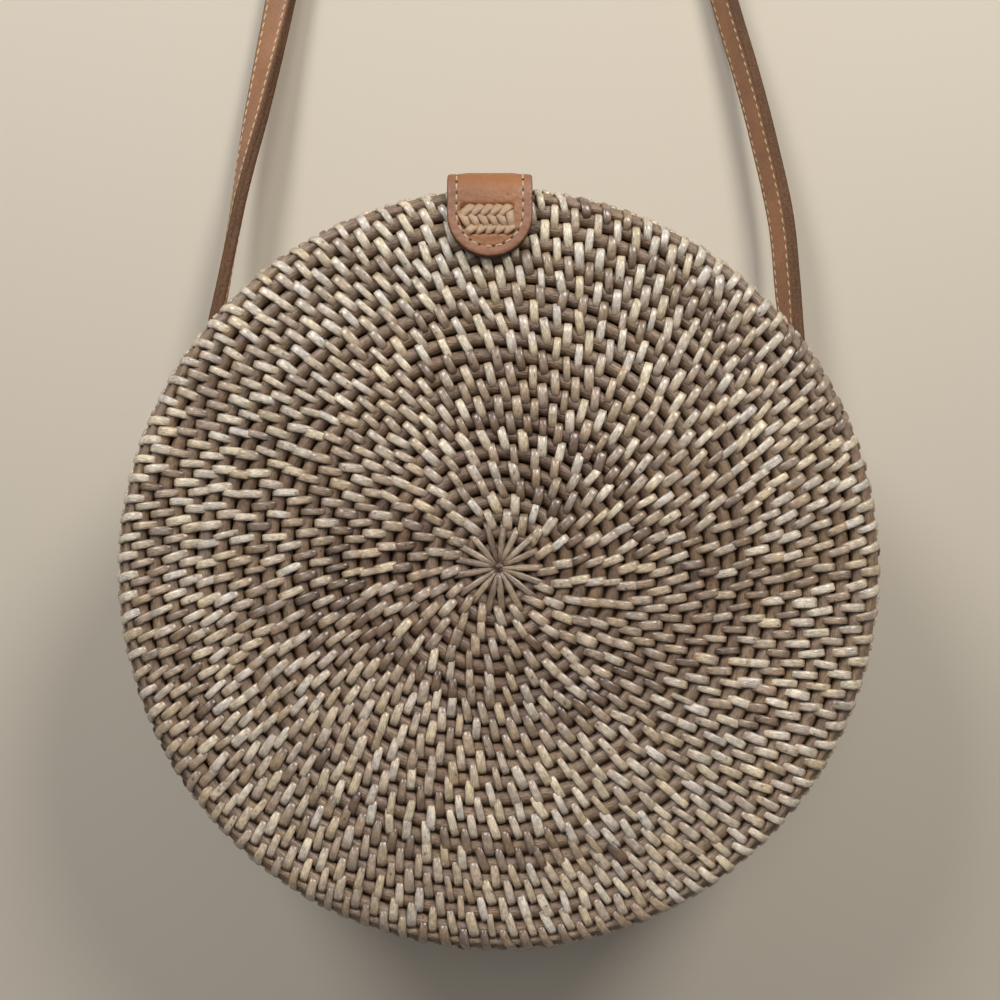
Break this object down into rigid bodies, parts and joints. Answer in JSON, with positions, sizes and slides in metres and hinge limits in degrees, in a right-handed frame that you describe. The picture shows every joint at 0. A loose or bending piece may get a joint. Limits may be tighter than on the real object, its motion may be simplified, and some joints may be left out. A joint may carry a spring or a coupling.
{
  "type": "round coiled cane shoulder bag",
  "caption": "Round coiled cane shoulder bag: two lined dish halves hinged by cane lashings, a leather closing tab with braided inlay and magnetic tail, and a leather strap.",
  "frame": {"origin": "centre of the back face, in the plane that the bag rests on when it lies on its back", "axes": "+Z out of the front face, +Y towards the closing tab, +X to the right as the front is seen"},
  "size_m": [0.214, 0.4433, 0.0835],
  "materials": {
    "coiled_cane": "split cane stitched over coiled cane, satin",
    "lashing_cane": "thin round cane, satin",
    "lining_cloth": "plain woven cotton, matt",
    "thread": "waxed cream thread",
    "braid_leather": "thin braided leather strips",
    "tie_leather": "thin leather strip",
    "strap_leather": "two sewn layers, burnished edge",
    "tab_leather": "two sewn layers, waxed",
    "button_metal": "plated steel",
    "rivet_brass": "aged brass"
  },
  "bodies": {
    "back_half": {"back_face": "coiled_cane", "back_wall": "coiled_cane", "back_rim_coil": "coiled_cane", "back_lining": "lining_cloth", "hinge_lashing_left": "lashing_cane", "hinge_lashing_right": "lashing_cane", "keeper_plate": "button_metal", "keeper_washer": "rivet_brass", "strap_left_run": "strap_leather", "strap_right_run": "strap_leather", "strap_roll": "strap_leather", "strap_tie": "tie_leather", "strap_rivet_left": "rivet_brass", "strap_rivet_right": "rivet_brass", "strap_washer_left": "rivet_brass", "strap_washer_right": "rivet_brass"},
    "front_half": {"front_face": "coiled_cane", "front_wall": "coiled_cane", "front_rim_coil": "coiled_cane", "front_lining": "lining_cloth", "tab_outer_leather": "tab_leather", "tab_inner_leather": "tab_leather", "tab_braid": "braid_leather", "tab_rivets": "rivet_brass", "tab_washers": "rivet_brass", "tab_stitching": "thread"},
    "tab_tail": {"tail_outer_leather": "tab_leather", "tail_inner_leather": "tab_leather", "tail_magnet": "button_metal", "tail_stitching": "thread"}
  },
  "joints": [
    {"name": "shell_hinge", "type": "hinge", "parent": "back_half", "child": "front_half", "pos_m": [0, -0.1027, 0.04], "axis": [1, 0, 0], "range_deg": [0, 100]},
    {"name": "tail_lift", "type": "hinge", "parent": "front_half", "child": "tab_tail", "pos_m": [-0.0024, 0.1054, 0.052], "axis": [1, 0, 0], "range_deg": [0, 120]}
  ]
}
